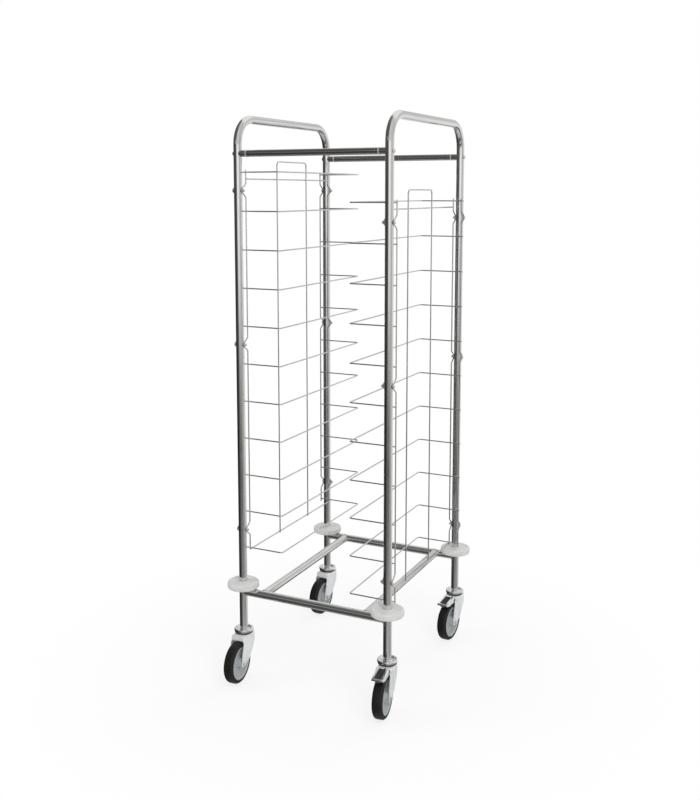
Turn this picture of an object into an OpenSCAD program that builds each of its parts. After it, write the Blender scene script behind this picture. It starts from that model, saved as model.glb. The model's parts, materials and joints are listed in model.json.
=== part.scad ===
// Tray return trolley: bent tube side frames, cross bars, two wire tray racks and four swivel casters

/* [Frame] */
// Distance between the upright axes across the trolley
frame_w = 488; // [440:1:560]
// Distance between the upright axes from front to rear
frame_d = 572; // [500:1:680]
// Outer diameter of the side frame tube and the lower tubes
tube_d = 25; // [22:0.5:28]
// Wall thickness of the frame tubes
tube_wall = 1.5; // [1:0.1:2.5]
// Centre line radius of the handle bends
handle_bend_r = 75; // [50:1:90]
// Height of the handle axis above the top cross bar axis
handle_rise = 102; // [100:1:150]
// Outer diameter of the top cross bars
top_bar_d = 20; // [17:0.5:22]
// Length of the end fittings of the top cross bars
bar_end_len = 28; // [20:1:40]
// Diameter of the top cross bar bolts
bar_bolt_d = 8; // [6:0.5:9]
// Height of the lower tube axes above the swivel heads
lower_bar_rise = 119; // [60:1:180]
// Distance of the lower rails from the upright axes
rail_inset = 72; // [60:1:120]

/* [Bumpers] */
// Outer diameter of the bumper discs
bumper_d = 98; // [70:1:110]
// Thickness of the bumper discs
bumper_t = 21; // [18:0.5:30]
// Edge rounding of the bumper discs
bumper_round = 7; // [3:0.5:8.5]

/* [Racks] */
// Number of ledges in a rack
ledge_count = 11; // [4:1:14]
// Height from one ledge to the next
ledge_pitch = 115; // [100:1:140]
// Distance of the ledge runs from the upright axes
ledge_depth = 130; // [100:1:160]
// Inner bend radius of the ledge corners
ledge_bend_r = 6; // [3:0.5:15]
// Diameter of the rack wires
wire_d = 4; // [3:0.1:5]
// Height of the right rack's lowest ledge above the bumpers
rack_floor_gap = 17; // [14:0.5:60]
// Height of the left rack above the right rack
rack_stagger = 87; // [0:1:110]
// Height of the top cross bar axis above the left rack's top ledge
rack_head_gap = 54; // [54:1:90]
// Width of the guard loops
loop_w = 190; // [140:1:260]
// Height of the guard loops above the top ledge
loop_rise = 35; // [20:1:36]
// Inner bend radius of the guard loops
loop_bend_r = 10; // [4:1:30]
// Drop of the upper guard wire below the top ledge
guard_drop = 20; // [10:1:27]
// Diameter of the rack bolts
rack_bolt_d = 5; // [4:0.5:6]

/* [Casters] */
// Diameter of the wheels
wheel_d = 125; // [110:1:135]
// Width of the tyres
tyre_w = 32; // [28:0.5:36]
// Height of the tyre section
tyre_h = 12.5; // [11:0.5:16]
// Edge rounding of the tyres
tyre_round = 9; // [4:0.5:10]
// Distance of the axles from the swivel axes
caster_trail = 46; // [40:1:52]
// Turn of each caster: front left, front right, rear left, rear right
caster_turns = [3, 7, -3, -5]; // [-30:1:30]
// Clear height between the wheels and the fork crowns
crown_gap = 16; // [15:0.5:24]
// Thickness of the fork sheet
fork_t = 3; // [2:0.25:4]
// Clear space between the tyres and the fork legs
fork_side_gap = 4.5; // [4:0.25:7]
// Diameter of the swivel heads
head_d = 60; // [52:1:64]
// Height of the swivel heads
head_h = 10.5; // [8:0.5:14]
// Height of the ball race gap
race_h = 2; // [1.5:0.25:5]
// Diameter of the king pins
king_pin_d = 16; // [12:0.5:20]
// Diameter of the axle bolts
axle_d = 8; // [6:0.5:9]
// Diameter of the axle sleeves that the wheels run on
sleeve_d = 12; // [11:0.5:15]

/* [Brakes] */
// Travel of the brake pedals in degrees
brake_travel = 10; // [6:1:12]
// Width of the brake pedals
pedal_w = 37; // [30:0.5:38]
// Length of the pedal treads
pedal_len = 58; // [52:1:64]
// Slope of the pedal treads in degrees
pedal_slope = 9; // [7:0.5:11]
// Thickness of the pedal sheet
pedal_t = 2; // [1.5:0.25:2.5]
// Diameter of the brake pivot pins
brake_pin_d = 6; // [5:0.5:7]

/* [Hidden] */
$fn = 64;
// clearances
weld_gap = 0.05;
run_gap = 0.05;
slip_gap = 0.2;
turn_gap = 0.3;
cut_over = 1;

// top cross bar fittings
bar_seam = 0.8;
bar_spigot = 14;
bar_bolt_grip = 18;
bar_head_d = 14;
bar_head_h = 5;

// hook bolts
rack_head_d = 9;
rack_head_h = 3;
rack_nut_af = 8;
rack_nut_t = 4;
rack_tip = 1.5;
hook_entry_r = 6;
hook_tail = 1;
hook_gap_share = 0.47;
hook_slope_share = 0.75;
end_over = 8;

// swivel head
stem_len = 50;
head_round = 6;
race_set = 2;
rivet_over = 4;
rivet_t = 4;

// fork and axle
fork_lead = 8;
leg_set = 5;
leg_knee = 36;
leg_heel_run = 40;
leg_heel_rise = 2;
axle_boss_r = 11;
apron_h = 14;
axle_af = 13;
axle_head_t = 5.5;
axle_tip = 1.5;

// wheel core
core_rim_t = 8;
core_rim_set = 2.5;
core_web_t = 12;
core_hub_r = 15;
core_hub_set = 2;
core_lip_t = 2.5;
core_lip_set = 1;

// brake
pivot_set = 7;
pivot_drop = 7;
pivot_boss_r = 5.5;
pedal_lead = 3.5;
pedal_lift = 3;
lip_h = 5;
lip_tab_w = 12;
lip_tab_h = 9;
flange_nose = 6;
flange_tip_run = 18;
flange_tip_drop = 13.5;
shoe_r = 5.5;
shoe_gap = 0.6;
shoe_turn = 18;
pin_head_r = 4.5;
pin_head_t = 1.5;
pad_w = 21;
pad_len = 44;
pad_set = 7;
pad_t = 1;
rib_t = 0.8;
rib_w = 2;
rib_count = 9;

// derived heights
wheel_r = wheel_d / 2;
tube_r = tube_d / 2;
wire_r = wire_d / 2;
crown_z = wheel_d + crown_gap;
crown_top = crown_z + fork_t;
head_z = crown_top + race_h;
foot_z = head_z + head_h;
lower_z = foot_z + lower_bar_rise;
bumper_z = lower_z + tube_r + weld_gap;
right_low = bumper_z + bumper_t + rack_floor_gap;
left_low = right_low + rack_stagger;
rack_h = (ledge_count - 1) * ledge_pitch;
top_bar_z = left_low + rack_h + rack_head_gap;
handle_z = top_bar_z + handle_rise;
bend_z = handle_z - handle_bend_r;

// derived places across and along
half_w = frame_w / 2;
half_d = frame_d / 2;
shift_y = (caster_trail + wheel_r - bumper_d / 2) / 2;
top_bar_len = frame_w - tube_d - 2 * bar_end_len;
bar_bore = top_bar_d - 2 * tube_wall;
hook_x = tube_r + wire_r + 2 * slip_gap;
leg_y = half_d - tube_r - wire_r - 2 * slip_gap;
end_y = tube_r + wire_d + wire_r + 2 * slip_gap + weld_gap;
guard_x = half_w - hook_x - wire_d - weld_gap;
loop_x = guard_x - wire_d - weld_gap;
guard_half = half_d - end_y + wire_r;
ledge_out = half_w + hook_x + wire_d;
ledge_in = half_w - ledge_depth;
hook_r = rack_bolt_d / 2 + wire_r + slip_gap;
hook_tip = hook_r * tan((90 - atan(hook_slope_share)) / 2);
hook_half_h = (end_y + hook_r) * hook_slope_share + hook_tip;
hook_reach = ceil(hook_half_h + hook_entry_r / 2 + hook_tail);
hook_levels = [0, floor((ledge_count - 1) / 2) - 1, ledge_count - 2];
hook_grip = hook_x + wire_r + weld_gap;

// derived caster places
crown_r = head_d / 2;
leg_in = tyre_w / 2 + fork_side_gap;
leg_out = leg_in + fork_t;
leg_front = -crown_r - fork_lead;
leg_rear = crown_r - leg_set;
tyre_in = wheel_r - tyre_h;
core_rim_r = tyre_in - run_gap;
pivot = [leg_front + pivot_set, crown_z - pivot_drop];
tread = [leg_front - pedal_lead, crown_top + pedal_lift];
tread_dir = [-cos(pedal_slope), -sin(pedal_slope)];
tread_up = [-sin(pedal_slope), cos(pedal_slope)];
tread_end = tread + pedal_len * tread_dir;
shoe_reach = wheel_r + shoe_gap + shoe_r;
shoe_down = [-caster_trail - shoe_reach * sin(shoe_turn), wheel_r + shoe_reach * cos(shoe_turn)];
shoe_arm = shoe_down - pivot;
shoe_yz = pivot + [
  shoe_arm[0] * cos(brake_travel) + shoe_arm[1] * sin(brake_travel),
  shoe_arm[1] * cos(brake_travel) - shoe_arm[0] * sin(brake_travel)
];

function unit(v) = v / norm(v);
function across(a, b) = a[0] * b[1] - a[1] * b[0];
function bend_angle(p, i) = acos(unit(p[i] - p[i - 1]) * unit(p[i + 1] - p[i]));
function bend_cut(p, r, i) = i == 0 || i == len(p) - 1 ? 0 : r[i] * tan(bend_angle(p, i) / 2);
function hook_z(low, k) = low + rack_h - (hook_levels[k] + hook_gap_share) * ledge_pitch;

// one wire bent in the XY plane through the points p with the bend radii r
module wire(p, r) {
  for (i = [0 : len(p) - 2]) {
    u = unit(p[i + 1] - p[i]);
    a = bend_cut(p, r, i);
    b = bend_cut(p, r, i + 1);
    run = norm(p[i + 1] - p[i]) - a - b;
    if (run > weld_gap)
      translate(p[i] + a * u)
        rotate([0, 90, atan2(u[1], u[0])])
          cylinder(h = run, d = wire_d);
  }
  for (i = [1 : len(p) - 2]) {
    u = unit(p[i] - p[i - 1]);
    s = across(u, p[i + 1] - p[i]) > 0 ? 1 : -1;
    turn = bend_angle(p, i);
    start = atan2(-s * u[0], s * u[1]);
    translate(p[i] - bend_cut(p, r, i) * u + s * r[i] * [-u[1], u[0]])
      rotate([0, 0, s > 0 ? start : start - turn])
        rotate_extrude(angle = turn)
          translate([r[i], 0])
            circle(d = wire_d);
  }
}

// turns a shape drawn in XY into the YZ plane
module side_on() {
  rotate([90, 0, 90])
    children();
}

module rod_x(len, d) {
  rotate([0, 90, 0])
    cylinder(h = len, d = d, center = true);
}

module at_upright(s, e) {
  translate([s * half_w, e * half_d + shift_y, 0])
    children();
}

// caster k: 0 front left, 1 front right, 2 rear left, 3 rear right
module at_caster(k) {
  at_upright(k % 2 == 0 ? -1 : 1, k < 2 ? -1 : 1)
    rotate([0, 0, caster_turns[k]])
      children();
}

module at_axle(k) {
  at_caster(k)
    translate([0, -caster_trail, wheel_r])
      children();
}

// frame tubes
module u_tube(d, below) {
  for (m = [0, 1])
    mirror([0, m, 0]) {
      translate([0, half_d, foot_z - below])
        cylinder(h = bend_z - foot_z + below, d = d);
      translate([0, half_d - handle_bend_r, bend_z])
        side_on()
          rotate_extrude(angle = 90)
            translate([handle_bend_r, 0])
              circle(d = d);
    }
  translate([0, 0, handle_z])
    rotate([90, 0, 0])
      cylinder(h = frame_d - 2 * handle_bend_r, d = d, center = true);
}

module side_frame(s, low) {
  translate([s * half_w, shift_y, 0])
    difference() {
      u_tube(tube_d, 0);
      u_tube(tube_d - 2 * tube_wall, cut_over);
      for (e = [-1, 1])
        translate([0, e * half_d, 0]) {
          translate([0, 0, top_bar_z])
            rod_x(tube_d + 2 * cut_over, bar_bolt_d + 2 * slip_gap);
          for (k = [0 : 2])
            translate([0, 0, hook_z(low, k)])
              rod_x(tube_d + 2 * cut_over, rack_bolt_d + 2 * slip_gap);
        }
    }
}

module top_bar(e) {
  translate([0, e * half_d + shift_y, top_bar_z])
    difference() {
      rod_x(top_bar_len, top_bar_d);
      rod_x(top_bar_len + 2 * cut_over, bar_bore);
    }
}

// places a fitting that points from the upright into the trolley along its own +X
module at_bar_end(s, e) {
  at_upright(s, e)
    translate([0, 0, top_bar_z])
      rotate([0, 0, s > 0 ? 180 : 0])
        children();
}

module bar_end() {
  difference() {
    union() {
      rotate([0, 90, 0])
        cylinder(h = tube_r + bar_end_len - bar_seam, d = top_bar_d);
      rotate([0, 90, 0])
        cylinder(h = tube_r + bar_end_len + bar_spigot, d = bar_bore - 2 * slip_gap);
    }
    cylinder(h = tube_d + top_bar_d, d = tube_d + 2 * weld_gap, center = true);
    rotate([0, 90, 0])
      cylinder(h = tube_r + bar_bolt_grip + cut_over, d = bar_bolt_d + 2 * slip_gap);
  }
}

module dome(d, h) {
  dome_r = (d * d / 4 + h * h) / (2 * h);
  intersection() {
    translate([0, 0, h - dome_r])
      sphere(r = dome_r);
    cylinder(h = 2 * h, d = 2 * d);
  }
}

module bar_bolt() {
  translate([-tube_r - weld_gap, 0, 0]) {
    rotate([0, 90, 0])
      cylinder(h = tube_d + bar_bolt_grip, d = bar_bolt_d);
    rotate([0, -90, 0])
      dome(bar_head_d, bar_head_h);
  }
}

module lower_bar(e) {
  translate([0, e * half_d + shift_y, lower_z])
    difference() {
      rod_x(frame_w, tube_d);
      rod_x(frame_w + 2 * cut_over, tube_d - 2 * tube_wall);
      for (s = [-1, 1])
        translate([s * half_w, 0, 0])
          cylinder(h = 2 * tube_d, d = tube_d + 2 * weld_gap, center = true);
    }
}

module lower_rail(s) {
  translate([s * (half_w - rail_inset), shift_y, lower_z])
    difference() {
      rotate([90, 0, 0])
        cylinder(h = frame_d, d = tube_d, center = true);
      rotate([90, 0, 0])
        cylinder(h = frame_d + 2 * cut_over, d = tube_d - 2 * tube_wall, center = true);
      for (e = [-1, 1])
        translate([0, e * half_d, 0])
          rod_x(2 * tube_d, tube_d + 2 * weld_gap);
    }
}

module bumper(s, e) {
  ring_in = tube_r + slip_gap;
  flat = bumper_d / 2 - bumper_round;
  at_upright(s, e)
    translate([0, 0, bumper_z])
      rotate_extrude() {
        translate([ring_in, 0])
          square([flat - ring_in, bumper_t]);
        translate([ring_in, bumper_round])
          square([bumper_d / 2 - ring_in, bumper_t - 2 * bumper_round]);
        for (z = [bumper_round, bumper_t - bumper_round])
          translate([flat, z])
            circle(r = bumper_round);
      }
}

// racks
module ledges(s, low) {
  r = ledge_bend_r + wire_r;
  for (k = [0 : ledge_count - 1])
    translate([0, shift_y, low + k * ledge_pitch])
      wire(
        [[s * ledge_out, -leg_y], [s * ledge_in, -leg_y], [s * ledge_in, leg_y], [s * ledge_out, leg_y]],
        [0, r, r, 0]
      );
}

// one hook round a bolt at the origin
module hook() {
  p = [
    [end_y, -hook_reach],
    [end_y, -hook_half_h],
    [-hook_r, -hook_tip],
    [-hook_r, hook_tip],
    [end_y, hook_half_h],
    [end_y, hook_reach]
  ];
  wire(p, [0, hook_entry_r, hook_r, hook_r, hook_entry_r, 0]);
}

module end_wire(low) {
  stops = [
    low - end_over - hook_reach,
    hook_z(low, 2),
    hook_z(low, 1),
    hook_z(low, 0),
    low + rack_h + end_over + hook_reach
  ];
  for (k = [0 : 3])
    translate([end_y, stops[k] + hook_reach])
      rotate([-90, 0, 0])
        cylinder(h = stops[k + 1] - stops[k] - 2 * hook_reach, d = wire_d);
  for (k = [1 : 3])
    translate([0, stops[k]])
      hook();
}

module end_wires(s, low) {
  for (m = [0, 1], i = [-1, 1])
    translate([s * half_w + i * hook_x, shift_y, 0])
      mirror([0, m, 0])
        translate([0, -half_d, 0])
          side_on()
            end_wire(low);
}

module guard_wires(s, low) {
  for (z = [low - wire_d, low + rack_h - guard_drop])
    translate([s * guard_x, shift_y, z])
      rotate([90, 0, 0])
        cylinder(h = 2 * guard_half, d = wire_d, center = true);
}

module guard_loop(s, low) {
  r = loop_bend_r + wire_r;
  foot = low - wire_d - wire_r;
  top = low + rack_h + loop_rise;
  translate([s * loop_x, shift_y, 0])
    side_on()
      wire(
        [[-loop_w / 2, foot], [-loop_w / 2, top], [loop_w / 2, top], [loop_w / 2, foot]],
        [0, r, r, 0]
      );
}

// places a shape at each hook, with its own +X pointing out of the trolley
module at_hooks() {
  for (s = [-1, 1], e = [-1, 1], k = [0 : 2])
    at_upright(s, e)
      translate([0, 0, hook_z(s < 0 ? left_low : right_low, k)])
        rotate([0, 0, s < 0 ? 180 : 0])
          children();
}

module rack_bolt() {
  translate([hook_grip, 0, 0]) {
    rotate([0, -90, 0])
      cylinder(h = 2 * hook_grip + rack_nut_t + rack_tip, d = rack_bolt_d);
    rotate([0, 90, 0])
      dome(rack_head_d, rack_head_h);
  }
}

module rack_nut() {
  translate([-hook_grip, 0, 0])
    rotate([0, -90, 0])
      difference() {
        cylinder(h = rack_nut_t, d = rack_nut_af / cos(30), $fn = 6);
        translate([0, 0, -cut_over])
          cylinder(h = rack_nut_t + 2 * cut_over, d = rack_bolt_d + 2 * weld_gap);
      }
}

// casters
module head() {
  flat = crown_r - head_round;
  translate([0, 0, head_z])
    rotate_extrude() {
      square([flat, head_h]);
      square([crown_r, head_h - head_round]);
      intersection() {
        translate([flat, head_h - head_round])
          circle(r = head_round);
        square([head_d, head_d]);
      }
    }
  translate([0, 0, foot_z - cut_over])
    cylinder(h = stem_len, d = tube_d - 2 * tube_wall - 2 * slip_gap);
  translate([0, 0, crown_z - turn_gap - rivet_t])
    cylinder(h = rivet_t, d = king_pin_d + 2 * rivet_over);
  translate([0, 0, crown_z - turn_gap - rivet_t])
    cylinder(h = head_z - crown_z + turn_gap + rivet_t + cut_over, d = king_pin_d);
}

module race() {
  translate([0, 0, crown_top + turn_gap])
    difference() {
      cylinder(h = race_h - turn_gap - weld_gap, r = crown_r - race_set);
      translate([0, 0, -cut_over])
        cylinder(h = race_h + 2 * cut_over, d = king_pin_d + 2 * slip_gap);
    }
}

module fork_leg() {
  side_on()
    linear_extrude(fork_t)
      difference() {
        union() {
          polygon([
            [leg_front, crown_top],
            [leg_rear, crown_top],
            [leg_rear, crown_top - leg_knee],
            [-caster_trail + leg_heel_run, wheel_r + leg_heel_rise],
            [-caster_trail, wheel_r - axle_boss_r],
            [-caster_trail - axle_boss_r, wheel_r]
          ]);
          translate([-caster_trail, wheel_r])
            circle(r = axle_boss_r);
        }
        translate([-caster_trail, wheel_r])
          circle(d = axle_d + 2 * weld_gap);
      }
}

module fork(braked) {
  difference() {
    union() {
      for (x = [-leg_out, leg_in])
        translate([x, 0, 0])
          fork_leg();
      translate([0, 0, crown_z])
        linear_extrude(fork_t)
          intersection() {
            union() {
              circle(r = crown_r);
              translate([-leg_out, leg_front])
                square([2 * leg_out, -leg_front]);
            }
            translate([-leg_out, leg_front])
              square([2 * leg_out, 2 * crown_r + fork_lead]);
          }
      if (!braked)
        translate([-leg_out, leg_front, crown_top - apron_h])
          cube([2 * leg_out, fork_t, apron_h]);
    }
    translate([0, 0, crown_z - cut_over])
      cylinder(h = fork_t + 2 * cut_over, d = king_pin_d + 2 * run_gap);
    if (braked)
      translate([0, pivot[0], pivot[1]])
        rod_x(2 * leg_out + 2 * cut_over, brake_pin_d + 2 * weld_gap);
  }
}

module axle() {
  rod_x(2 * leg_in - 2 * weld_gap, sleeve_d);
  translate([-leg_out - weld_gap, 0, 0])
    rotate([0, 90, 0])
      cylinder(h = 2 * leg_out + 2 * weld_gap + axle_head_t + axle_tip, d = axle_d);
  translate([-leg_out - weld_gap, 0, 0])
    rotate([0, -90, 0])
      cylinder(h = axle_head_t, d = axle_af / cos(30), $fn = 6);
}

module axle_nut() {
  translate([leg_out + weld_gap, 0, 0])
    rotate([0, 90, 0])
      difference() {
        cylinder(h = axle_head_t, d = axle_af / cos(30), $fn = 6);
        translate([0, 0, -cut_over])
          cylinder(h = axle_head_t + 2 * cut_over, d = axle_d + 2 * weld_gap);
      }
}

// a band of a turned piece, from radius a to radius b, w wide about the middle
module band(a, b, w) {
  translate([a, -w / 2])
    square([b - a, w]);
}

module core() {
  bore_r = sleeve_d / 2 + run_gap;
  rim_in = core_rim_r - core_rim_t;
  rotate([0, 90, 0])
    rotate_extrude() {
      band(bore_r, core_hub_r, 2 * leg_in - 2 * core_hub_set);
      band(bore_r, core_rim_r, core_web_t);
      band(rim_in, core_rim_r, tyre_w - 2 * core_rim_set);
      band(core_rim_r - core_lip_t, core_rim_r, tyre_w - 2 * core_lip_set);
    }
}

module tyre() {
  flat = wheel_r - tyre_round;
  rotate([0, 90, 0])
    rotate_extrude() {
      band(tyre_in, flat, tyre_w);
      band(tyre_in, wheel_r, tyre_w - 2 * tyre_round);
      for (x = [-1, 1])
        intersection() {
          translate([flat, x * (tyre_w / 2 - tyre_round)])
            circle(r = tyre_round);
          band(tyre_in, wheel_d, 2 * tyre_w);
        }
    }
}

// brake
module on_tread() {
  translate([0, tread[0], tread[1]])
    rotate([pedal_slope, 0, 0])
      children();
}

module pedal_flange() {
  heel = tread - pedal_t / 2 * tread_up;
  toe = tread_end - pedal_t / 2 * tread_up;
  nose = tread_end - flange_nose * tread_up;
  tip = tread_end - flange_tip_run * tread_dir - flange_tip_drop * tread_up;
  side_on()
    linear_extrude(pedal_t)
      union() {
        polygon([
          heel,
          toe,
          nose,
          tip,
          [shoe_yz[0], shoe_yz[1] - shoe_r],
          [pivot[0], pivot[1] - pivot_boss_r],
          pivot,
          [leg_front - pedal_lead, pivot[1] + pivot_boss_r]
        ]);
        translate(pivot)
          circle(r = pivot_boss_r);
        translate(shoe_yz)
          circle(r = shoe_r);
      }
}

module pedal() {
  difference() {
    union() {
      for (x = [-pedal_w / 2, pedal_w / 2 - pedal_t])
        translate([x, 0, 0])
          pedal_flange();
      on_tread() {
        translate([-pedal_w / 2, -pedal_len, -pedal_t])
          cube([pedal_w, pedal_len, pedal_t]);
        translate([-pedal_w / 2, -pedal_len, -lip_h])
          cube([pedal_w, pedal_t, lip_h]);
        translate([-lip_tab_w / 2, -pedal_len, -lip_tab_h])
          cube([lip_tab_w, pedal_t, lip_tab_h]);
      }
      translate([0, shoe_yz[0], shoe_yz[1]])
        rod_x(pedal_w, 2 * shoe_r);
    }
    translate([0, pivot[0], pivot[1]])
      rod_x(pedal_w + 2 * cut_over, brake_pin_d + 2 * run_gap);
  }
}

module pedal_pad() {
  on_tread()
    translate([-pad_w / 2, -pad_set - pad_len, weld_gap]) {
      cube([pad_w, pad_len, pad_t]);
      for (k = [0 : rib_count - 1])
        translate([0, k * (pad_len - rib_w) / (rib_count - 1), 0])
          cube([pad_w, rib_w, pad_t + rib_t]);
    }
}

module pedal_pin() {
  translate([0, pivot[0], pivot[1]]) {
    rod_x(2 * leg_out + 2 * weld_gap, brake_pin_d);
    for (x = [-1, 1])
      translate([x * (leg_out + weld_gap + pin_head_t / 2), 0, 0])
        rod_x(pin_head_t, 2 * pin_head_r);
  }
}

// sub-parts
module side_frame_left() {
  color("#c9ccd0") side_frame(-1, left_low);
}
module side_frame_right() {
  color("#c9ccd0") side_frame(1, right_low);
}
module top_bar_front() {
  color("#b9bcc2") top_bar(-1);
}
module top_bar_rear() {
  color("#b9bcc2") top_bar(1);
}
module top_bar_ends() {
  color("#a9adb4")
    for (s = [-1, 1], e = [-1, 1])
      at_bar_end(s, e)
        bar_end();
}
module top_bar_bolts() {
  color("#8f949c")
    for (s = [-1, 1], e = [-1, 1])
      at_bar_end(s, e)
        bar_bolt();
}
module lower_bar_front() {
  color("#b9bcc2") lower_bar(-1);
}
module lower_bar_rear() {
  color("#b9bcc2") lower_bar(1);
}
module lower_rail_left() {
  color("#aeb2b8") lower_rail(-1);
}
module lower_rail_right() {
  color("#aeb2b8") lower_rail(1);
}
module bumper_front_left() {
  color("#d8d8d6") bumper(-1, -1);
}
module bumper_front_right() {
  color("#d8d8d6") bumper(1, -1);
}
module bumper_rear_left() {
  color("#d8d8d6") bumper(-1, 1);
}
module bumper_rear_right() {
  color("#d8d8d6") bumper(1, 1);
}
module ledges_left() {
  color("#9aa0a8") ledges(-1, left_low);
}
module end_wires_left() {
  color("#868c94") end_wires(-1, left_low);
}
module guard_wires_left() {
  color("#7c828a") guard_wires(-1, left_low);
}
module guard_loop_left() {
  color("#90969e") guard_loop(-1, left_low);
}
module ledges_right() {
  color("#9aa0a8") ledges(1, right_low);
}
module end_wires_right() {
  color("#868c94") end_wires(1, right_low);
}
module guard_wires_right() {
  color("#7c828a") guard_wires(1, right_low);
}
module guard_loop_right() {
  color("#90969e") guard_loop(1, right_low);
}
module rack_bolts() {
  color("#6c727a") at_hooks() rack_bolt();
}
module rack_nuts() {
  color("#5c626a") at_hooks() rack_nut();
}
module head_front_left() {
  color("#d2d5d9") at_caster(0) head();
}
module race_front_left() {
  color("#2e3033") at_caster(0) race();
}
module fork_front_left() {
  color("#c4c8cc") at_caster(0) fork(false);
}
module axle_front_left() {
  color("#8f949c") at_axle(0) axle();
}
module axle_nut_front_left() {
  color("#70757c") at_axle(0) axle_nut();
}
module core_front_left() {
  color("#8d959c") at_axle(0) core();
}
module tyre_front_left() {
  color("#26282b") at_axle(0) tyre();
}
module head_front_right() {
  color("#d2d5d9") at_caster(1) head();
}
module race_front_right() {
  color("#2e3033") at_caster(1) race();
}
module fork_front_right() {
  color("#c4c8cc") at_caster(1) fork(true);
}
module axle_front_right() {
  color("#8f949c") at_axle(1) axle();
}
module axle_nut_front_right() {
  color("#70757c") at_axle(1) axle_nut();
}
module core_front_right() {
  color("#8d959c") at_axle(1) core();
}
module tyre_front_right() {
  color("#26282b") at_axle(1) tyre();
}
module head_rear_left() {
  color("#d2d5d9") at_caster(2) head();
}
module race_rear_left() {
  color("#2e3033") at_caster(2) race();
}
module fork_rear_left() {
  color("#c4c8cc") at_caster(2) fork(false);
}
module axle_rear_left() {
  color("#8f949c") at_axle(2) axle();
}
module axle_nut_rear_left() {
  color("#70757c") at_axle(2) axle_nut();
}
module core_rear_left() {
  color("#8d959c") at_axle(2) core();
}
module tyre_rear_left() {
  color("#26282b") at_axle(2) tyre();
}
module head_rear_right() {
  color("#d2d5d9") at_caster(3) head();
}
module race_rear_right() {
  color("#2e3033") at_caster(3) race();
}
module fork_rear_right() {
  color("#c4c8cc") at_caster(3) fork(true);
}
module axle_rear_right() {
  color("#8f949c") at_axle(3) axle();
}
module axle_nut_rear_right() {
  color("#70757c") at_axle(3) axle_nut();
}
module core_rear_right() {
  color("#8d959c") at_axle(3) core();
}
module tyre_rear_right() {
  color("#26282b") at_axle(3) tyre();
}
module pedal_front_right() {
  color("#b4b8bd") at_caster(1) pedal();
}
module pedal_pad_front_right() {
  color("#3a3d40") at_caster(1) pedal_pad();
}
module pedal_pin_front_right() {
  color("#7f848b") at_caster(1) pedal_pin();
}
module pedal_rear_right() {
  color("#b4b8bd") at_caster(3) pedal();
}
module pedal_pad_rear_right() {
  color("#3a3d40") at_caster(3) pedal_pad();
}
module pedal_pin_rear_right() {
  color("#7f848b") at_caster(3) pedal_pin();
}

side_frame_left();
side_frame_right();
top_bar_front();
top_bar_rear();
top_bar_ends();
top_bar_bolts();
lower_bar_front();
lower_bar_rear();
lower_rail_left();
lower_rail_right();
bumper_front_left();
bumper_front_right();
bumper_rear_left();
bumper_rear_right();
ledges_left();
end_wires_left();
guard_wires_left();
guard_loop_left();
ledges_right();
end_wires_right();
guard_wires_right();
guard_loop_right();
rack_bolts();
rack_nuts();
head_front_left();
race_front_left();
fork_front_left();
axle_front_left();
axle_nut_front_left();
core_front_left();
tyre_front_left();
head_front_right();
race_front_right();
fork_front_right();
axle_front_right();
axle_nut_front_right();
core_front_right();
tyre_front_right();
head_rear_left();
race_rear_left();
fork_rear_left();
axle_rear_left();
axle_nut_rear_left();
core_rear_left();
tyre_rear_left();
head_rear_right();
race_rear_right();
fork_rear_right();
axle_rear_right();
axle_nut_rear_right();
core_rear_right();
tyre_rear_right();
pedal_front_right();
pedal_pad_front_right();
pedal_pin_front_right();
pedal_rear_right();
pedal_pad_rear_right();
pedal_pin_rear_right();
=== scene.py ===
import json
import math

import bmesh
import bpy
from mathutils import Matrix, Vector


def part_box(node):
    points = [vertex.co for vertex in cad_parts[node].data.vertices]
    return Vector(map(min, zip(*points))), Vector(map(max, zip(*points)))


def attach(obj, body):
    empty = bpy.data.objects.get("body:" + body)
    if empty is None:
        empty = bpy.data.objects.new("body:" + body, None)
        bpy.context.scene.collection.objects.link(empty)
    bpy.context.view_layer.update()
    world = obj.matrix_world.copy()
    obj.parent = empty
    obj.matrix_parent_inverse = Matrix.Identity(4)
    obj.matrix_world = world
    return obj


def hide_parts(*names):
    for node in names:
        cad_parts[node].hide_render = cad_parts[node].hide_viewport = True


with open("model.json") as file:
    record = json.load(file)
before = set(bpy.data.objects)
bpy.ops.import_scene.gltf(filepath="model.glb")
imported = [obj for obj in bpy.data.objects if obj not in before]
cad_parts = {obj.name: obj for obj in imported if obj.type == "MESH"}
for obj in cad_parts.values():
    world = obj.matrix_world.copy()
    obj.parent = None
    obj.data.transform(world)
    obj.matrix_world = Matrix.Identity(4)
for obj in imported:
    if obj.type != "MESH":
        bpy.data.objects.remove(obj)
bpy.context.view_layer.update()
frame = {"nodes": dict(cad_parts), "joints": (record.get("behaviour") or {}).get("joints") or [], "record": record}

# The trolley stands on the floor at z = 0, its front towards -Y, in metres.
scene = bpy.context.scene
nodes = frame["nodes"]
joints = {joint["name"]: joint for joint in frame["joints"]}
bodies = frame["record"]["behaviour"]["bodies"]
body_of = {node: body for body, owned in bodies.items() for node in owned}

CASTERS = ("front_left", "front_right", "rear_left", "rear_right")
BRAKED = ("front_right", "rear_right")
SIDES = ("left", "right")
ENDS = ("front", "rear")
FULL_TURN = 2 * math.pi


# Camera

SENSOR_WIDTH = 36.0
FOCAL_LENGTH = 45.33
SHIFT_Y = -0.105
LOOK_DOWN = 7.04
LOOK_LEFT = 25.82
EYE = (1.361, -2.814, 1.506)


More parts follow.
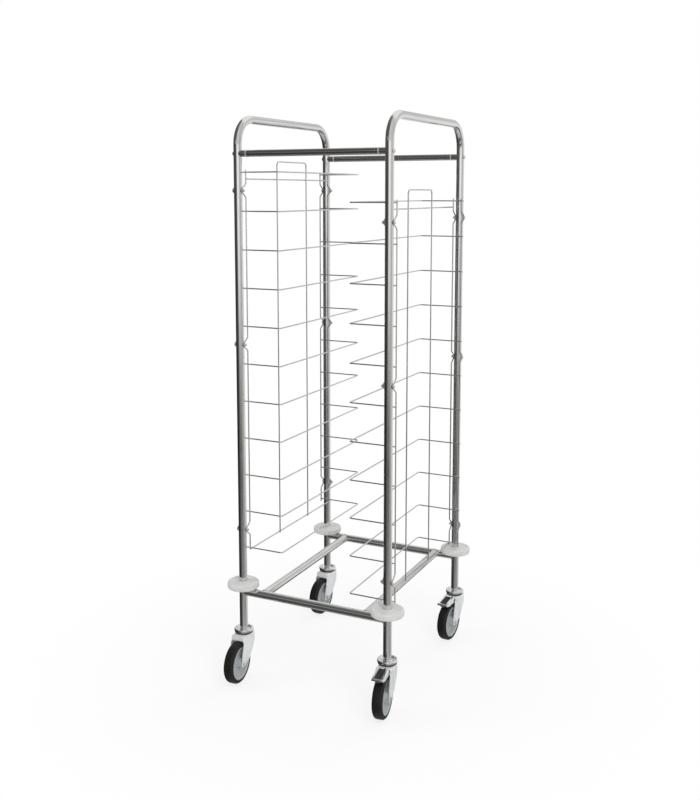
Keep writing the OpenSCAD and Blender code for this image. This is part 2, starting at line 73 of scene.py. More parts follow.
def photo_camera():
    lens = bpy.data.cameras.new("photo_camera")
    lens.sensor_width = SENSOR_WIDTH
    lens.lens = FOCAL_LENGTH
    lens.shift_y = SHIFT_Y
    camera = bpy.data.objects.new("photo_camera", lens)
    camera.rotation_euler = (math.radians(90 - LOOK_DOWN), 0, math.radians(LOOK_LEFT))
    camera.location = EYE
    scene.collection.objects.link(camera)
    scene.camera = camera


# Shader building blocks

def new_finish(name, fixed):
    """A material with one skin; the fixed values are set on the skin's own sockets."""
    material = bpy.data.materials.new(name)
    material.use_nodes = True
    tree = material.node_tree
    tree.nodes.clear()
    out = tree.nodes.new("ShaderNodeOutputMaterial")
    skin = tree.nodes.new("ShaderNodeBsdfPrincipled")
    for socket, value in fixed.items():
        skin.inputs[socket].default_value = value
    tree.links.new(skin.outputs["BSDF"], out.inputs["Surface"])
    return material, tree, skin


def speckle(tree, scale, stretch=(1, 1, 1), detail=3.0, roughness=0.55):
    """Noise on the piece's own coordinates, drawn out where a stretch is below one."""
    coords = tree.nodes.new("ShaderNodeTexCoord")
    mapped = tree.nodes.new("ShaderNodeMapping")
    mapped.inputs["Scale"].default_value = stretch
    noise = tree.nodes.new("ShaderNodeTexNoise")
    noise.inputs["Scale"].default_value = scale
    noise.inputs["Detail"].default_value = detail
    noise.inputs["Roughness"].default_value = roughness
    tree.links.new(coords.outputs["Object"], mapped.inputs["Vector"])
    tree.links.new(mapped.outputs["Vector"], noise.inputs["Vector"])
    return noise.outputs["Fac"]


def between(tree, factor, low, high, start=0.3, end=0.7):
    """Low up to where the factor is at start, and high from where it is at end."""
    node = tree.nodes.new("ShaderNodeMapRange")
    node.inputs["From Min"].default_value = start
    node.inputs["From Max"].default_value = end
    node.inputs["To Min"].default_value = low
    node.inputs["To Max"].default_value = high
    tree.links.new(factor, node.inputs["Value"])
    return node.outputs["Result"]


def ramp(tree, factor, stops):
    """A colour along the factor, through (place, colour) stops."""
    node = tree.nodes.new("ShaderNodeValToRGB")
    band = node.color_ramp
    while len(band.elements) < len(stops):
        band.elements.new(1.0)
    for element, (place, colour) in zip(band.elements, stops):
        element.position = place
        element.color = (*colour, 1.0)
    tree.links.new(factor, node.inputs["Fac"])
    return node.outputs["Color"]


def blend(tree, factor, first, second):
    node = tree.nodes.new("ShaderNodeMix")
    node.data_type = "FLOAT"
    tree.links.new(factor, node.inputs["Factor"])
    tree.links.new(first, node.inputs["A"])
    tree.links.new(second, node.inputs["B"])
    return node.outputs["Result"]


def mixed(tree, factor, first, second):
    node = tree.nodes.new("ShaderNodeMixShader")
    tree.links.new(factor, node.inputs["Fac"])
    tree.links.new(first, node.inputs[1])
    tree.links.new(second, node.inputs[2])
    return node.outputs["Shader"]


def tint(tree, skin, factor, colour, shares):
    """Varies the colour of a skin by (place, share) stops."""
    stops = [(place, tuple(c * share for c in colour)) for place, share in shares]
    tree.links.new(ramp(tree, factor, stops), skin.inputs["Base Color"])


def dulled(tree, skin, factor, low, high):
    """Varies the roughness of a skin."""
    tree.links.new(between(tree, factor, low, high), skin.inputs["Roughness"])


def relief(tree, skin, height, strength, depth):
    node = tree.nodes.new("ShaderNodeBump")
    node.inputs["Strength"].default_value = strength
    node.inputs["Distance"].default_value = depth
    tree.links.new(height, node.inputs["Height"])
    tree.links.new(node.outputs["Normal"], skin.inputs["Normal"])


# Finishes

ALONG = {"x": (0.02, 1, 1), "y": (1, 0.02, 1), "z": (1, 1, 0.02)}
HANDLE_BEND_LOW = 1.655
HANDLE_BEND_HIGH = 1.705


def drawn_lines(tree, way):
    return speckle(tree, scale=1400, stretch=ALONG[way], detail=2)


def polished_tube(name, colour, along, dull=0.10):
    """Drawn and polished stainless tube: fine lines along it, with faint cloudy marks from handling.

    The lines run along one axis, or along a second one above the bend into the handle.
    """
    material, tree, skin = new_finish(name, {"Metallic": 1.0})
    lines = drawn_lines(tree, along[0])
    if len(along) > 1:
        coords = tree.nodes.new("ShaderNodeTexCoord")
        parts = tree.nodes.new("ShaderNodeSeparateXYZ")
        tree.links.new(coords.outputs["Object"], parts.inputs["Vector"])
        bent = between(tree, parts.outputs["Z"], 0, 1, HANDLE_BEND_LOW, HANDLE_BEND_HIGH)
        lines = blend(tree, bent, lines, drawn_lines(tree, along[1]))
    clouds = speckle(tree, scale=7, detail=4)
    tint(tree, skin, clouds, colour, [(0.25, 0.94), (0.75, 1.03)])
    dulled(tree, skin, speckle(tree, scale=23, detail=5), dull * 0.75, dull * 1.6)
    relief(tree, skin, lines, strength=0.05, depth=0.0002)
    return material


def drawn_wire(name, colour):
    """Bright plated wire with a slightly wavy surface."""
    material, tree, skin = new_finish(name, {"Metallic": 1.0})
    waves = speckle(tree, scale=60)
    tint(tree, skin, waves, colour, [(0.3, 0.9), (0.7, 1.04)])
    dulled(tree, skin, speckle(tree, scale=180), 0.10, 0.22)
    relief(tree, skin, waves, strength=0.06, depth=0.0005)
    return material


def zinc_plate(name, colour, dull, metal=1.0):
    """Bright zinc on pressed sheet: a pale tone with fine frosting and drawn-out press marks."""
    material, tree, skin = new_finish(name, {"Metallic": metal})
    frost = speckle(tree, scale=420, detail=4)
    marks = speckle(tree, scale=38, stretch=(1, 1, 0.35), detail=4)
    tint(tree, skin, marks, colour, [(0.28, 0.86), (0.5, 1), (0.74, 1.05)])
    dulled(tree, skin, frost, dull * 0.7, dull * 1.4)
    surface = blend(tree, between(tree, marks, 0.35, 0.65), frost, marks)
    relief(tree, skin, surface, strength=0.08, depth=0.0004)
    return material


def moulded_plastic(name, colour, dull):
    """Moulded plastic with spark-eroded grain and soft scuffs."""
    material, tree, skin = new_finish(name, {"Specular IOR Level": 0.45, "IOR": 1.49})
    pebbles = speckle(tree, scale=1500, detail=2)
    clouds = speckle(tree, scale=30, detail=5)
    tint(tree, skin, clouds, colour, [(0.25, 0.94), (0.55, 1), (0.8, 1.06)])
    dulled(tree, skin, clouds, dull * 0.85, dull * 1.15)
    relief(tree, skin, pebbles, strength=0.10, depth=0.0002)
    return material


def tyre_rubber(name, colour):
    """Dark rubber, dusty in patches, with a fine moulded grain."""
    material, tree, skin = new_finish(name, {"Specular IOR Level": 0.4, "IOR": 1.52})
    dust = speckle(tree, scale=45, detail=6, roughness=0.65)
    grain = speckle(tree, scale=900)
    tint(tree, skin, dust, colour, [(0.3, 0.8), (0.55, 1), (0.8, 1.7)])
    dulled(tree, skin, dust, 0.42, 0.62)
    relief(tree, skin, grain, strength=0.12, depth=0.0003)
    return material


def clothe(node, material):
    slots = nodes[node].data.materials
    slots.clear()
    slots.append(material)


STEEL = (0.80, 0.79, 0.775)
ZINC = (0.88, 0.89, 0.90)
side_steel = polished_tube("side_frame_steel", STEEL, "zy")
# The top cross bars are darker than the other tubes: painted dark reflection of the dim room they mirror above and
# below. A rougher finish blurs it.
cross_steel_painted_reflection = polished_tube("cross_bar_steel_painted_reflection", (0.52, 0.51, 0.50), "x", dull=0.14)
lower_bar_steel = polished_tube("lower_bar_steel", STEEL, "x")
lower_rail_steel = polished_tube("lower_rail_steel", STEEL, "y")
bolt_steel = zinc_plate("bolt_steel", (0.80, 0.80, 0.80), dull=0.34, metal=0.7)
weld_steel = zinc_plate("weld_steel", (0.62, 0.61, 0.60), dull=0.3)
wire_steel = drawn_wire("rack_wire", (0.72, 0.72, 0.72))
head_zinc = zinc_plate("head_zinc", (0.90, 0.91, 0.92), dull=0.09)
fork_zinc = zinc_plate("fork_zinc", ZINC, dull=0.36, metal=0.35)
pedal_zinc = zinc_plate("pedal_zinc", ZINC, dull=0.12)
bumper_grey = moulded_plastic("bumper_plastic", (0.68, 0.68, 0.675), dull=0.5)
core_grey = moulded_plastic("core_plastic", (0.43, 0.452, 0.46), dull=0.45)
# Black race ring, which also serves as painted shade in the gap under the swivel head.
race_and_painted_gap_shade = moulded_plastic("race_ring", (0.02, 0.02, 0.021), dull=0.5)
tyre_black = tyre_rubber("tyre_rubber", (0.008, 0.008, 0.009))
pad_black = tyre_rubber("pedal_pad", (0.035, 0.034, 0.034))

for side in SIDES:
    clothe("side_frame_" + side, side_steel)
    clothe("lower_rail_" + side, lower_rail_steel)
    for part in ("ledges_", "end_wires_", "guard_wires_", "guard_loop_"):
        clothe(part + side, wire_steel)
for end in ENDS:
    clothe("lower_bar_" + end, lower_bar_steel)


# Mesh building blocks: pieces are drawn in millimetres and placed in metres

TO_MM = 1000
MM = Matrix.Scale(1 / TO_MM, 4)
ONTO_X = Matrix.Rotation(math.pi / 2, 4, "Y")
UPRIGHT_SIDE = Matrix(((0, 0, 1, 0), (1, 0, 0, 0), (0, 1, 0, 0), (0, 0, 0, 1)))
CORNER_STEPS = 5
SAME_POINT = 1e-4
SHORTEST_EDGE = 0.6
BEND_ANGLE = math.radians(23)
RIM_ANGLE = math.radians(57)
CREASE = 38


def rounded(bm, geom, offset, steps, affect="EDGES", clamp=False):
    bmesh.ops.bevel(bm, geom=geom, offset=offset, offset_type="OFFSET", segments=steps, profile=0.5,
                    affect=affect, material=-1, clamp_overlap=clamp)


def closed(bm):
    bmesh.ops.remove_doubles(bm, verts=bm.verts, dist=SAME_POINT)
    bmesh.ops.recalc_face_normals(bm, faces=bm.faces)
    return bm


def section(bm, corners):
    """One flat face in XY through (x, y, radius) corners, rounded where there is a radius."""
    verts = [bm.verts.new((x, y, 0)) for x, y, _ in corners]
    bm.faces.new(verts)
    places = [vert.co.copy() for vert in verts]
    for k, (_, _, radius) in enumerate(corners):
        if radius:
            back = places[k - 1] - places[k]
            on = places[(k + 1) % len(places)] - places[k]
            setback = radius / math.tan(back.angle(on) / 2)
            rounded(bm, [verts[k]], setback, CORNER_STEPS, affect="VERTICES")


def turned(corners, steps=72):
    """A ring: a section of (distance from the axis, height, radius) corners, spun about Z."""
    bm = bmesh.new()
    section(bm, corners)
    upright = Matrix.Rotation(math.pi / 2, 3, "X")
    bmesh.ops.rotate(bm, verts=bm.verts, cent=(0, 0, 0), matrix=upright)
    bmesh.ops.delete(bm, geom=bm.faces[:], context="FACES_ONLY")
    bmesh.ops.spin(bm, geom=bm.verts[:] + bm.edges[:], cent=(0, 0, 0), axis=(0, 0, 1),
                   angle=FULL_TURN, steps=steps, use_merge=True)
    return closed(bm)


def slab(corners, half):
    """A prism across X, from a side view of (y, z, radius) corners."""
    bm = bmesh.new()
    section(bm, corners)
    bmesh.ops.transform(bm, matrix=Matrix.Translation((-half, 0, 0)) @ UPRIGHT_SIDE, verts=bm.verts)
    grown = bmesh.ops.extrude_face_region(bm, geom=bm.faces[:])["geom"]
    far_side = [part for part in grown if isinstance(part, bmesh.types.BMVert)]
    bmesh.ops.translate(bm, vec=(2 * half, 0, 0), verts=far_side)
    return closed(bm)


def folded(bm, radius, steps):
    """Rounds the bends of a sheet: every edge where two of its faces meet at an angle."""
    bmesh.ops.remove_doubles(bm, verts=bm.verts, dist=SHORTEST_EDGE)
    bends = [e for e in bm.edges if len(e.link_faces) == 2 and e.calc_face_angle() > BEND_ANGLE]
    rounded(bm, bends, radius, steps, clamp=True)
    return bm


def placed(name, bm, where, material, body, crease=CREASE):
    bmesh.ops.transform(bm, matrix=where, verts=bm.verts)
    mesh = bpy.data.meshes.new(name)
    bm.to_mesh(mesh)
    bm.free()
    mesh.shade_smooth()
    mesh.set_sharp_from_angle(angle=math.radians(crease))
    mesh.materials.append(material)
    thing = bpy.data.objects.new(name, mesh)
    scene.collection.objects.link(thing)
    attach(thing, body)
    return thing


def stands_for(node, name, bm, where, material, crease=CREASE):
    thing = placed(name, bm, where, material, body_of[node], crease)
    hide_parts(node)
    return thing


def sheet_metal(thing, thickness, rim):
    """Gives a sheet its wall, inwards, and breaks the wall's sharp rims."""
    wall = thing.modifiers.new("wall", "SOLIDIFY")
    wall.thickness = thickness
    wall.offset = -1.0
    edge = thing.modifiers.new("rim", "BEVEL")
    edge.width = rim
    edge.segments = 2
    edge.limit_method = "ANGLE"
    edge.angle_limit = math.radians(50)
    edge.harden_normals = True


def eased(node, width, material):
    """A copy of a fitting with its sharp edges taken off."""
    flat = math.radians(0.5)
    sharp = math.radians(40)
    bm = bmesh.new()
    bm.from_mesh(nodes[node].data)
    bmesh.ops.remove_doubles(bm, verts=bm.verts, dist=2e-6)
    bmesh.ops.dissolve_limit(bm, angle_limit=flat, verts=bm.verts, edges=bm.edges)
    edges = [e for e in bm.edges if len(e.link_faces) == 2 and e.calc_face_angle() > sharp]
    rounded(bm, edges, width, steps=2, clamp=True)
    stands_for(node, "eased_" + node, bm, Matrix(), material, crease=20)


# Casters and the bumpers over them, drawn with the swivel axis on Z and the wheel towards -Y

# Rings: distance from the axis, height and corner radius
BUMPER = [(12.7, 288.05, 0.5), (49, 288.05, 6.5), (49, 309.05, 7), (17.6, 309.05, 0.8),
          (16.8, 310.7, 0.7), (12.7, 310.7, 0.5)]
HEAD = [(10, 149.4, 0), (29.2, 149.4, 0.3), (30, 150.2, 0.4), (30, 157.1, 2.6), (21, 157.1, 1.8),
        (18.8, 153.6, 1.2), (14.2, 153.6, 0.6), (14.2, 156.5, 0.4), (10, 156.5, 0)]
KING_PIN = [(1, 136.7, 0), (12, 136.7, 1.4), (12, 140.7, 0.5), (7.9, 140.7, 0), (7.9, 146.1, 0),
            (1, 146.1, 0)]
# The black race is drawn taller than the real race, up into the foot of the head, so it also stands for the shade
# in the gap under the head: partly a real dark race, partly painted shade.
RACE_AND_PAINTED_GAP_SHADE = [(9, 144.3, 0), (28, 144.3, 0.4), (28, 149.3, 0.4), (9, 149.3, 0)]

# One half of a wheel's rings, outwards from its middle
TYRE_HALF = [(50, 15.1, 0.3), (51.2, 16, 0.6), (62.5, 16, 8.8)]
CORE_HALF = [(6.05, 18.5, 0.4), (15, 18.5, 1.2), (16.2, 6.3, 2.5), (40.6, 6, 3), (42.2, 13.5, 0.9),
             (46.8, 13.5, 0.5), (47.7, 15, 0.6), (49.95, 15, 0.4)]
TRAIL = 46
WHEEL_RADIUS = 62.5
HUB = Matrix.Translation((0, -TRAIL, WHEEL_RADIUS)) @ ONTO_X

# Side views of the pressed sheets: y, z and corner radius
FORK_SIDE = [(-38, 144, 0), (25, 144, 0), (25, 108, 24), (-6, 64.5, 24), (-57, 47.14, 10.9),
             (-57, 62.5, 0)]
FORK_HALF_WIDTH = 23.5
FORK_BEND = 5.5
APRON_FOOT = 130
PEDAL_SIDE = [(-41.5, 147, 0), (-98.79, 137.93, 0), (-97.38, 129.04, 0), (-78.9, 127.41, 5),
              (-67.74, 128.62, 4), (-25.5, 128.5, 5), (-25.5, 139.5, 5), (-41.5, 139.5, 1)]
PEDAL_HALF_WIDTH = 18.5
PEDAL_BEND = 3
TREAD_SLOPE = math.radians(9)
TREAD_UP = Vector((0, -math.sin(TREAD_SLOPE), math.cos(TREAD_SLOPE)))
TREAD_END = Vector((0, -98.79, 137.93))
TREAD_BACK = -45
LIP_DEPTH = 6
TAB_HALF_WIDTH = 6
FLANGE_TIP = Vector((0, -78.9, 127.41))
SHOE = (0, -67.74, 134.12)
SHOE_RADIUS = 5.5
SHOE_LENGTH = 33
SHOE_EDGE = 0.6

# Walls, rims and broken edges, in metres
FORK_WALL = 0.003
FORK_RIM = 0.0007
PEDAL_WALL = 0.002
PEDAL_RIM = 0.0003
BOLT_EDGE = 0.0004
NUT_EDGE = 0.0005
PAD_EDGE = 0.0003
TUBE_EDGE = 0.001

# A face looks a way when the cosine between its normal and that way is above this
FACING = 0.9
UP = Vector((0, 0, 1))
FORWARD = Vector((0, -1, 0))
SIDEWAYS = Vector((1, 0, 0))


def caster_place(caster):
    """From a caster's own millimetres to its place."""
    x, y, _ = joints["swivel_" + caster]["pos_m"]
    axle = joints["roll_" + caster]["axis"]
    toe = Matrix.Rotation(math.atan2(axle[1], axle[0]), 4, "Z")
    return Matrix.Translation((x, y, 0)) @ toe @ MM


def both_sides(half):
    return half + [(out, -height, radius) for out, height, radius in reversed(half)]


def faces_way(face, way):
    return face.normal.dot(way) > FACING


def flank(face):
    return abs(face.normal.x) > FACING


def front(face):
    return faces_way(face, FORWARD)


def any_face(face):
    return True


def cut(bm, wanted, place, way):
    """Cuts the wanted faces along a plane."""
    faces = [face for face in bm.faces if wanted(face)]
    touched = dict.fromkeys(part for face in faces for part in (*face.verts, *face.edges, face))
    bmesh.ops.bisect_plane(bm, geom=list(touched), plane_co=place, plane_no=way)


def keep_only(bm, kept):
    open_faces = [face for face in bm.faces if not kept(face)]
    bmesh.ops.delete(bm, geom=open_faces, context="FACES")


def pressed_fork(braked):
    """Flanks and crown, with an apron in front where there is no pedal."""
    def kept(face):
        high = face.calc_center_median().z > APRON_FOOT
        apron = not braked and front(face) and high
        return flank(face) or faces_way(face, UP) or apron

    bm = slab(FORK_SIDE, FORK_HALF_WIDTH)
    cut(bm, any_face, (0, 0, APRON_FOOT), UP)
    keep_only(bm, kept)
    return folded(bm, FORK_BEND, steps=5)


def pressed_pedal():
    """Tread, lip with a middle tab, and flanges whose lower edge runs from the lip to a rounded tip."""
    lip_end = TREAD_END - LIP_DEPTH * TREAD_UP
    nose_line = (FLANGE_TIP - lip_end).normalized()
    under = Vector((0, nose_line.z, -nose_line.y))

    def kept(face):
        middle = face.calc_center_median()
        tread = faces_way(face, TREAD_UP) and middle.y < TREAD_BACK
        tab = abs(middle.x) < TAB_HALF_WIDTH
        lip = front(face) and ((middle - lip_end).dot(TREAD_UP) > 0 or tab)
        flange = flank(face) and (middle - FLANGE_TIP).dot(under) < 0
        return tread or lip or flange

    bm = slab(PEDAL_SIDE, PEDAL_HALF_WIDTH)
    cut(bm, front, lip_end, TREAD_UP)
    cut(bm, front, (TAB_HALF_WIDTH, 0, 0), SIDEWAYS)
    cut(bm, front, (-TAB_HALF_WIDTH, 0, 0), SIDEWAYS)
    cut(bm, flank, FLANGE_TIP, under)
    keep_only(bm, kept)
    return folded(bm, PEDAL_BEND, steps=4)


def brake_shoe():
    """The rod that presses on the tyre, between the pedal's flanges."""
    bm = bmesh.new()
    bmesh.ops.create_cone(bm, cap_ends=True, segments=40, radius1=SHOE_RADIUS, radius2=SHOE_RADIUS,
                          depth=SHOE_LENGTH)
    rims = [e for e in bm.edges if e.calc_face_angle() > RIM_ANGLE]
    rounded(bm, rims, SHOE_EDGE, steps=2)
    bmesh.ops.transform(bm, matrix=Matrix.Translation(SHOE) @ ONTO_X, verts=bm.verts)
    return bm


for caster in CASTERS:
    spot = caster_place(caster)
    stem = Matrix.Translation((spot.translation.x, spot.translation.y, 0)) @ MM
    stands_for("bumper_" + caster, "bumper_disc_" + caster, turned(BUMPER, steps=96), stem,
               bumper_grey)
    stands_for("head_" + caster, "swivel_head_" + caster, turned(HEAD), stem, head_zinc)
    placed("king_pin_" + caster, turned(KING_PIN, steps=40), stem, head_zinc, "frame")
    stands_for("race_" + caster, "ball_race_and_painted_gap_shade_" + caster, turned(RACE_AND_PAINTED_GAP_SHADE), stem, race_and_painted_gap_shade)
    stands_for("tyre_" + caster, "tread_ring_" + caster, turned(both_sides(TYRE_HALF), steps=96),
               spot @ HUB, tyre_black)
    stands_for("core_" + caster, "wheel_disc_" + caster, turned(both_sides(CORE_HALF), steps=96),
               spot @ HUB, core_grey)
    fork = stands_for("fork_" + caster, "pressed_fork_" + caster, pressed_fork(caster in BRAKED),
                      spot, fork_zinc)
    sheet_metal(fork, FORK_WALL, FORK_RIM)
    eased("axle_" + caster, BOLT_EDGE, bolt_steel)
    eased("axle_nut_" + caster, NUT_EDGE, bolt_steel)
for caster in BRAKED:
    spot = caster_place(caster)
    pedal = stands_for("pedal_" + caster, "pressed_pedal_" + caster, pressed_pedal(), spot,
                       pedal_zinc)
    sheet_metal(pedal, PEDAL_WALL, PEDAL_RIM)
    placed("brake_shoe_" + caster, brake_shoe(), spot, pedal_zinc, "brake_" + caster)
    eased("pedal_pad_" + caster, PAD_EDGE, pad_black)
    eased("pedal_pin_" + caster, BOLT_EDGE, bolt_steel)


# Frame fittings

BAR_RING = [(9.6, -1.8, 0), (10.8, -1.8, 0.9), (10.8, 1.8, 0.9), (9.6, 1.8, 0)]
BAR_RING_X = 213
UPRIGHT_X = 244
RAIL_X = 172
BEAD_RADIUS = 1.5
BEAD_RUN = 12.4
SADDLE_RADIUS = 12.9
RIPPLES = 24
RIPPLE_SHARE = 0.12


def middle_of(node):
    """The middle of a node's box, in millimetres."""
    low, high = (Vector(corner) * TO_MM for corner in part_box(node))
    return (low + high) / 2


def weld_bead(bm, where):
    """A bead along the saddle where a tube along the bead's own Z meets a like tube along X."""
    bead = bmesh.new()
    bmesh.ops.create_circle(bead, segments=10, radius=BEAD_RADIUS)
    start = Matrix.Translation((BEAD_RUN, 0, 0)) @ Matrix.Rotation(math.pi / 2, 4, "X")
    bmesh.ops.transform(bead, matrix=start, verts=bead.verts)
    bmesh.ops.spin(bead, geom=bead.verts[:] + bead.edges[:], cent=(0, 0, 0), axis=(0, 0, 1),
                   angle=FULL_TURN, steps=72, use_merge=True)
    closed(bead)
    for vert in bead.verts:
        round_at = math.atan2(vert.co.y, vert.co.x)
        ripple = 1 + RIPPLE_SHARE * math.sin(RIPPLES * round_at)
        run = Vector((vert.co.x, vert.co.y, 0)).normalized() * BEAD_RUN
        vert.co = run + (vert.co - run) * ripple
        vert.co.z += math.sqrt(SADDLE_RADIUS ** 2 - min(abs(run.y), BEAD_RUN) ** 2)
    bmesh.ops.transform(bead, matrix=where, verts=bead.verts)
    spare = bpy.data.meshes.new("bead")
    bead.to_mesh(spare)
    bead.free()
    bm.from_mesh(spare)
    bpy.data.meshes.remove(spare)


def lower_frame_welds():
    """Beads where the cross bars meet the uprights and the rails meet the cross bars."""
    bm = bmesh.new()
    for end in ENDS:
        _, y, z = middle_of("lower_bar_" + end)
        inwards = 1 if end == "front" else -1
        for s in (-1, 1):
            at_upright = Matrix(((0, 0, -s, s * UPRIGHT_X), (0, 1, 0, y), (s, 0, 0, z), (0, 0, 0, 1)))
            weld_bead(bm, at_upright)
            at_rail = Matrix(((1, 0, 0, s * RAIL_X), (0, 0, inwards, y), (0, -inwards, 0, z),
                              (0, 0, 0, 1)))
            weld_bead(bm, at_rail)
    bmesh.ops.recalc_face_normals(bm, faces=bm.faces)
    return bm


for node in ("top_bar_bolts", "rack_bolts", "rack_nuts"):
    eased(node, BOLT_EDGE, bolt_steel)
eased("top_bar_ends", TUBE_EDGE, cross_steel_painted_reflection)
for end in ENDS:
    eased("top_bar_" + end, TUBE_EDGE, cross_steel_painted_reflection)
    _, bar_y, bar_z = middle_of("top_bar_" + end)
    for side, ring_x in zip(SIDES, (-BAR_RING_X, BAR_RING_X)):
        spot = MM @ Matrix.Translation((ring_x, bar_y, bar_z)) @ ONTO_X
        placed("bar_ring_" + end + "_" + side, turned(BAR_RING, steps=48), spot, bolt_steel,
               "frame")
placed("lower_frame_welds", lower_frame_welds(), MM, weld_steel, "frame")


# Studio

WHITE = (1, 1, 1, 1)
FLOOR_GREY = (0.9, 0.9, 0.9, 1)
FLOOR_RADIUS = 9.0
NEAR_WHITE = 0.80
NEAR_REACH = 0.45
FAR_REACH = 1.1
SOFT_LIGHT = 0.55

# What the metal mirrors on each side: degrees above the horizon, grey and, where it is warm, warmth
FRONT = [(-62, 0.60), (-50, 0.10, 0.9), (-40, 0.12, 0.9), (-31, 0.55), (-26, 0.55), (-21, 0.22, 0.95),
         (-15, 0.12, 0.9), (-10, 0.38, 0.95), (-5, 0.82), (-1, 1.0), (4, 1.0), (9, 0.70)]
RIGHT = [(-62, 0.60), (-40, 0.30), (-20, 0.38), (0, 0.56), (60, 0.60)]
BACK = [(-55, 0.70), (-44, 0.16), (-31, 0.16), (-25, 0.60), (-17, 0.85), (-2, 0.90), (6, 0.68),
        (26, 0.60), (36, 0.92), (60, 0.92)]
LEFT = [(-72, 0.50), (-50, 0.09, 0.9), (-30, 0.03, 0.9), (-12, 0.02, 0.9), (5, 0.08, 0.9),
        (22, 0.10), (56, 0.13), (80, 0.36)]
STRIP = [(5, 0.08), (9, 0.45), (14, 0.45), (19, 0.10)]

# Where each of them shows: degrees round from the back, the right side at 90, and share
TO_RIGHT = [(70, 1.0), (112, 1.0), (132, 0.0)]
TO_BACK = [(-60, 0.0), (-48, 1.0), (58, 1.0), (78, 0.0)]
TO_LEFT = [(-180, 0.3), (-168, 1.0), (-58, 1.0), (-46, 0.0), (168, 0.0), (180, 0.3)]
TO_STRIP = [(-172, 0.0), (-164, 1.0), (-146, 1.0), (-136, 0.0)]

# Lamps: name, place, width and height, power
LAMPS = (
    ("key_lamp", (2.6, -2.2, 3.2), (1.8, 1.8), 70),
    ("fill_lamp", (-2.8, -1.6, 2.4), (1.6, 1.6), 28),
    ("back_lamp", (0.6, 3.0, 2.8), (2.0, 1.6), 30),
)
LAMP_AIM = (0, 0, 0.8)


def floor_finish():
    """Pale grey under the trolley, where shadows fall, and white to the camera further out."""
    material = bpy.data.materials.new("floor")
    material.use_nodes = True
    tree = material.node_tree
    tree.nodes.clear()
    out = tree.nodes.new("ShaderNodeOutputMaterial")
    paint = tree.nodes.new("ShaderNodeBsdfDiffuse")
    paint.inputs["Color"].default_value = FLOOR_GREY
    white = tree.nodes.new("ShaderNodeEmission")
    white.inputs["Color"].default_value = WHITE
    white.inputs["Strength"].default_value = 1.0
    coords = tree.nodes.new("ShaderNodeTexCoord")
    reach = tree.nodes.new("ShaderNodeVectorMath")
    reach.operation = "LENGTH"
    tree.links.new(coords.outputs["Object"], reach.inputs[0])
    path = tree.nodes.new("ShaderNodeLightPath")
    lift = tree.nodes.new("ShaderNodeMath")
    lift.operation = "MULTIPLY"
    whiteness = between(tree, reach.outputs["Value"], NEAR_WHITE, 1.0, NEAR_REACH, FAR_REACH)
    tree.links.new(whiteness, lift.inputs[0])
    tree.links.new(path.outputs["Is Camera Ray"], lift.inputs[1])
    shown = mixed(tree, lift.outputs[0], paint.outputs["BSDF"], white.outputs["Emission"])
    tree.links.new(shown, out.inputs["Surface"])
    return material


def pale_floor():
    bm = bmesh.new()
    bmesh.ops.create_circle(bm, cap_ends=True, segments=96, radius=FLOOR_RADIUS)
    mesh = bpy.data.meshes.new("floor")
    bm.to_mesh(mesh)
    bm.free()
    mesh.materials.append(floor_finish())
    floor = bpy.data.objects.new("floor", mesh)
    floor.visible_glossy = False
    scene.collection.objects.link(floor)


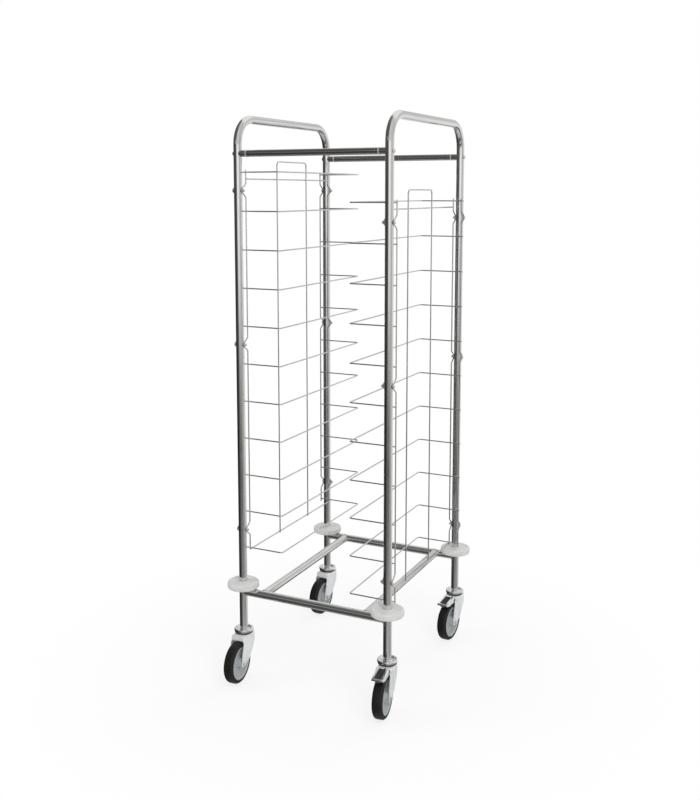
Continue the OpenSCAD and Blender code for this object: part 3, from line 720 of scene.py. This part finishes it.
def studio_world():
    """White to the camera, soft white light, and a studio that only the mirrored rays see.

    That studio is pale behind, bright ahead at eye height, grey on the right and dark on the left,
    with one light strip on the dark wall.
    """
    world = bpy.data.worlds.new("studio")
    scene.world = world
    world.use_nodes = True
    tree = world.node_tree
    tree.nodes.clear()
    out = tree.nodes.new("ShaderNodeOutputWorld")
    coords = tree.nodes.new("ShaderNodeTexCoord")
    parts = tree.nodes.new("ShaderNodeSeparateXYZ")
    tree.links.new(coords.outputs["Generated"], parts.inputs["Vector"])
    turn = tree.nodes.new("ShaderNodeMath")
    turn.operation = "ARCTAN2"
    tree.links.new(parts.outputs["X"], turn.inputs[0])
    tree.links.new(parts.outputs["Y"], turn.inputs[1])
    rise = tree.nodes.new("ShaderNodeMath")
    rise.operation = "ARCSINE"
    tree.links.new(parts.outputs["Z"], rise.inputs[0])
    round_about = between(tree, turn.outputs[0], 0, 1, -math.pi, math.pi)
    up_down = between(tree, rise.outputs[0], 0, 1, -math.pi / 2, math.pi / 2)

    def grey(value, warm=1.0):
        return (value, value * (1 + warm) / 2, value * warm)

    def wall(stops):
        return ramp(tree, up_down, [((degrees + 90) / 180, grey(*tone)) for degrees, *tone in stops])

    def share(stops):
        return ramp(tree, round_about, [((degrees + 180) / 360, grey(part)) for degrees, part in stops])

    def over(factor, below, above, kind="MIX"):
        node = tree.nodes.new("ShaderNodeMix")
        node.data_type = "RGBA"
        node.blend_type = kind
        tree.links.new(factor, node.inputs["Factor"])
        tree.links.new(below, node.inputs["A"])
        tree.links.new(above, node.inputs["B"])
        return node.outputs["Result"]

    def light(strength):
        node = tree.nodes.new("ShaderNodeBackground")
        node.inputs["Color"].default_value = WHITE
        node.inputs["Strength"].default_value = strength
        return node.outputs["Background"]

    shown = over(share(TO_RIGHT), wall(FRONT), wall(RIGHT))
    shown = over(share(TO_BACK), shown, wall(BACK))
    dark_side = over(share(TO_STRIP), wall(LEFT), wall(STRIP), "LIGHTEN")
    shown = over(share(TO_LEFT), shown, dark_side)
    mirrored = tree.nodes.new("ShaderNodeBackground")
    tree.links.new(shown, mirrored.inputs["Color"])
    path = tree.nodes.new("ShaderNodeLightPath")
    studio = mirrored.outputs["Background"]
    around = mixed(tree, path.outputs["Is Glossy Ray"], light(SOFT_LIGHT), studio)
    seen = mixed(tree, path.outputs["Is Camera Ray"], around, light(1.0))
    tree.links.new(seen, out.inputs["Surface"])


def soft_lamp(name, place, size, power):
    lamp = bpy.data.lights.new(name, "AREA")
    lamp.shape = "RECTANGLE"
    lamp.size, lamp.size_y = size
    lamp.energy = power
    holder = bpy.data.objects.new(name, lamp)
    holder.location = place
    aim = Vector(LAMP_AIM) - Vector(place)
    holder.rotation_euler = aim.to_track_quat("-Z", "Y").to_euler()
    holder.visible_glossy = False
    scene.collection.objects.link(holder)


photo_camera()
pale_floor()
studio_world()
for lamp_values in LAMPS:
    soft_lamp(*lamp_values)
scene.view_settings.view_transform = "Standard"
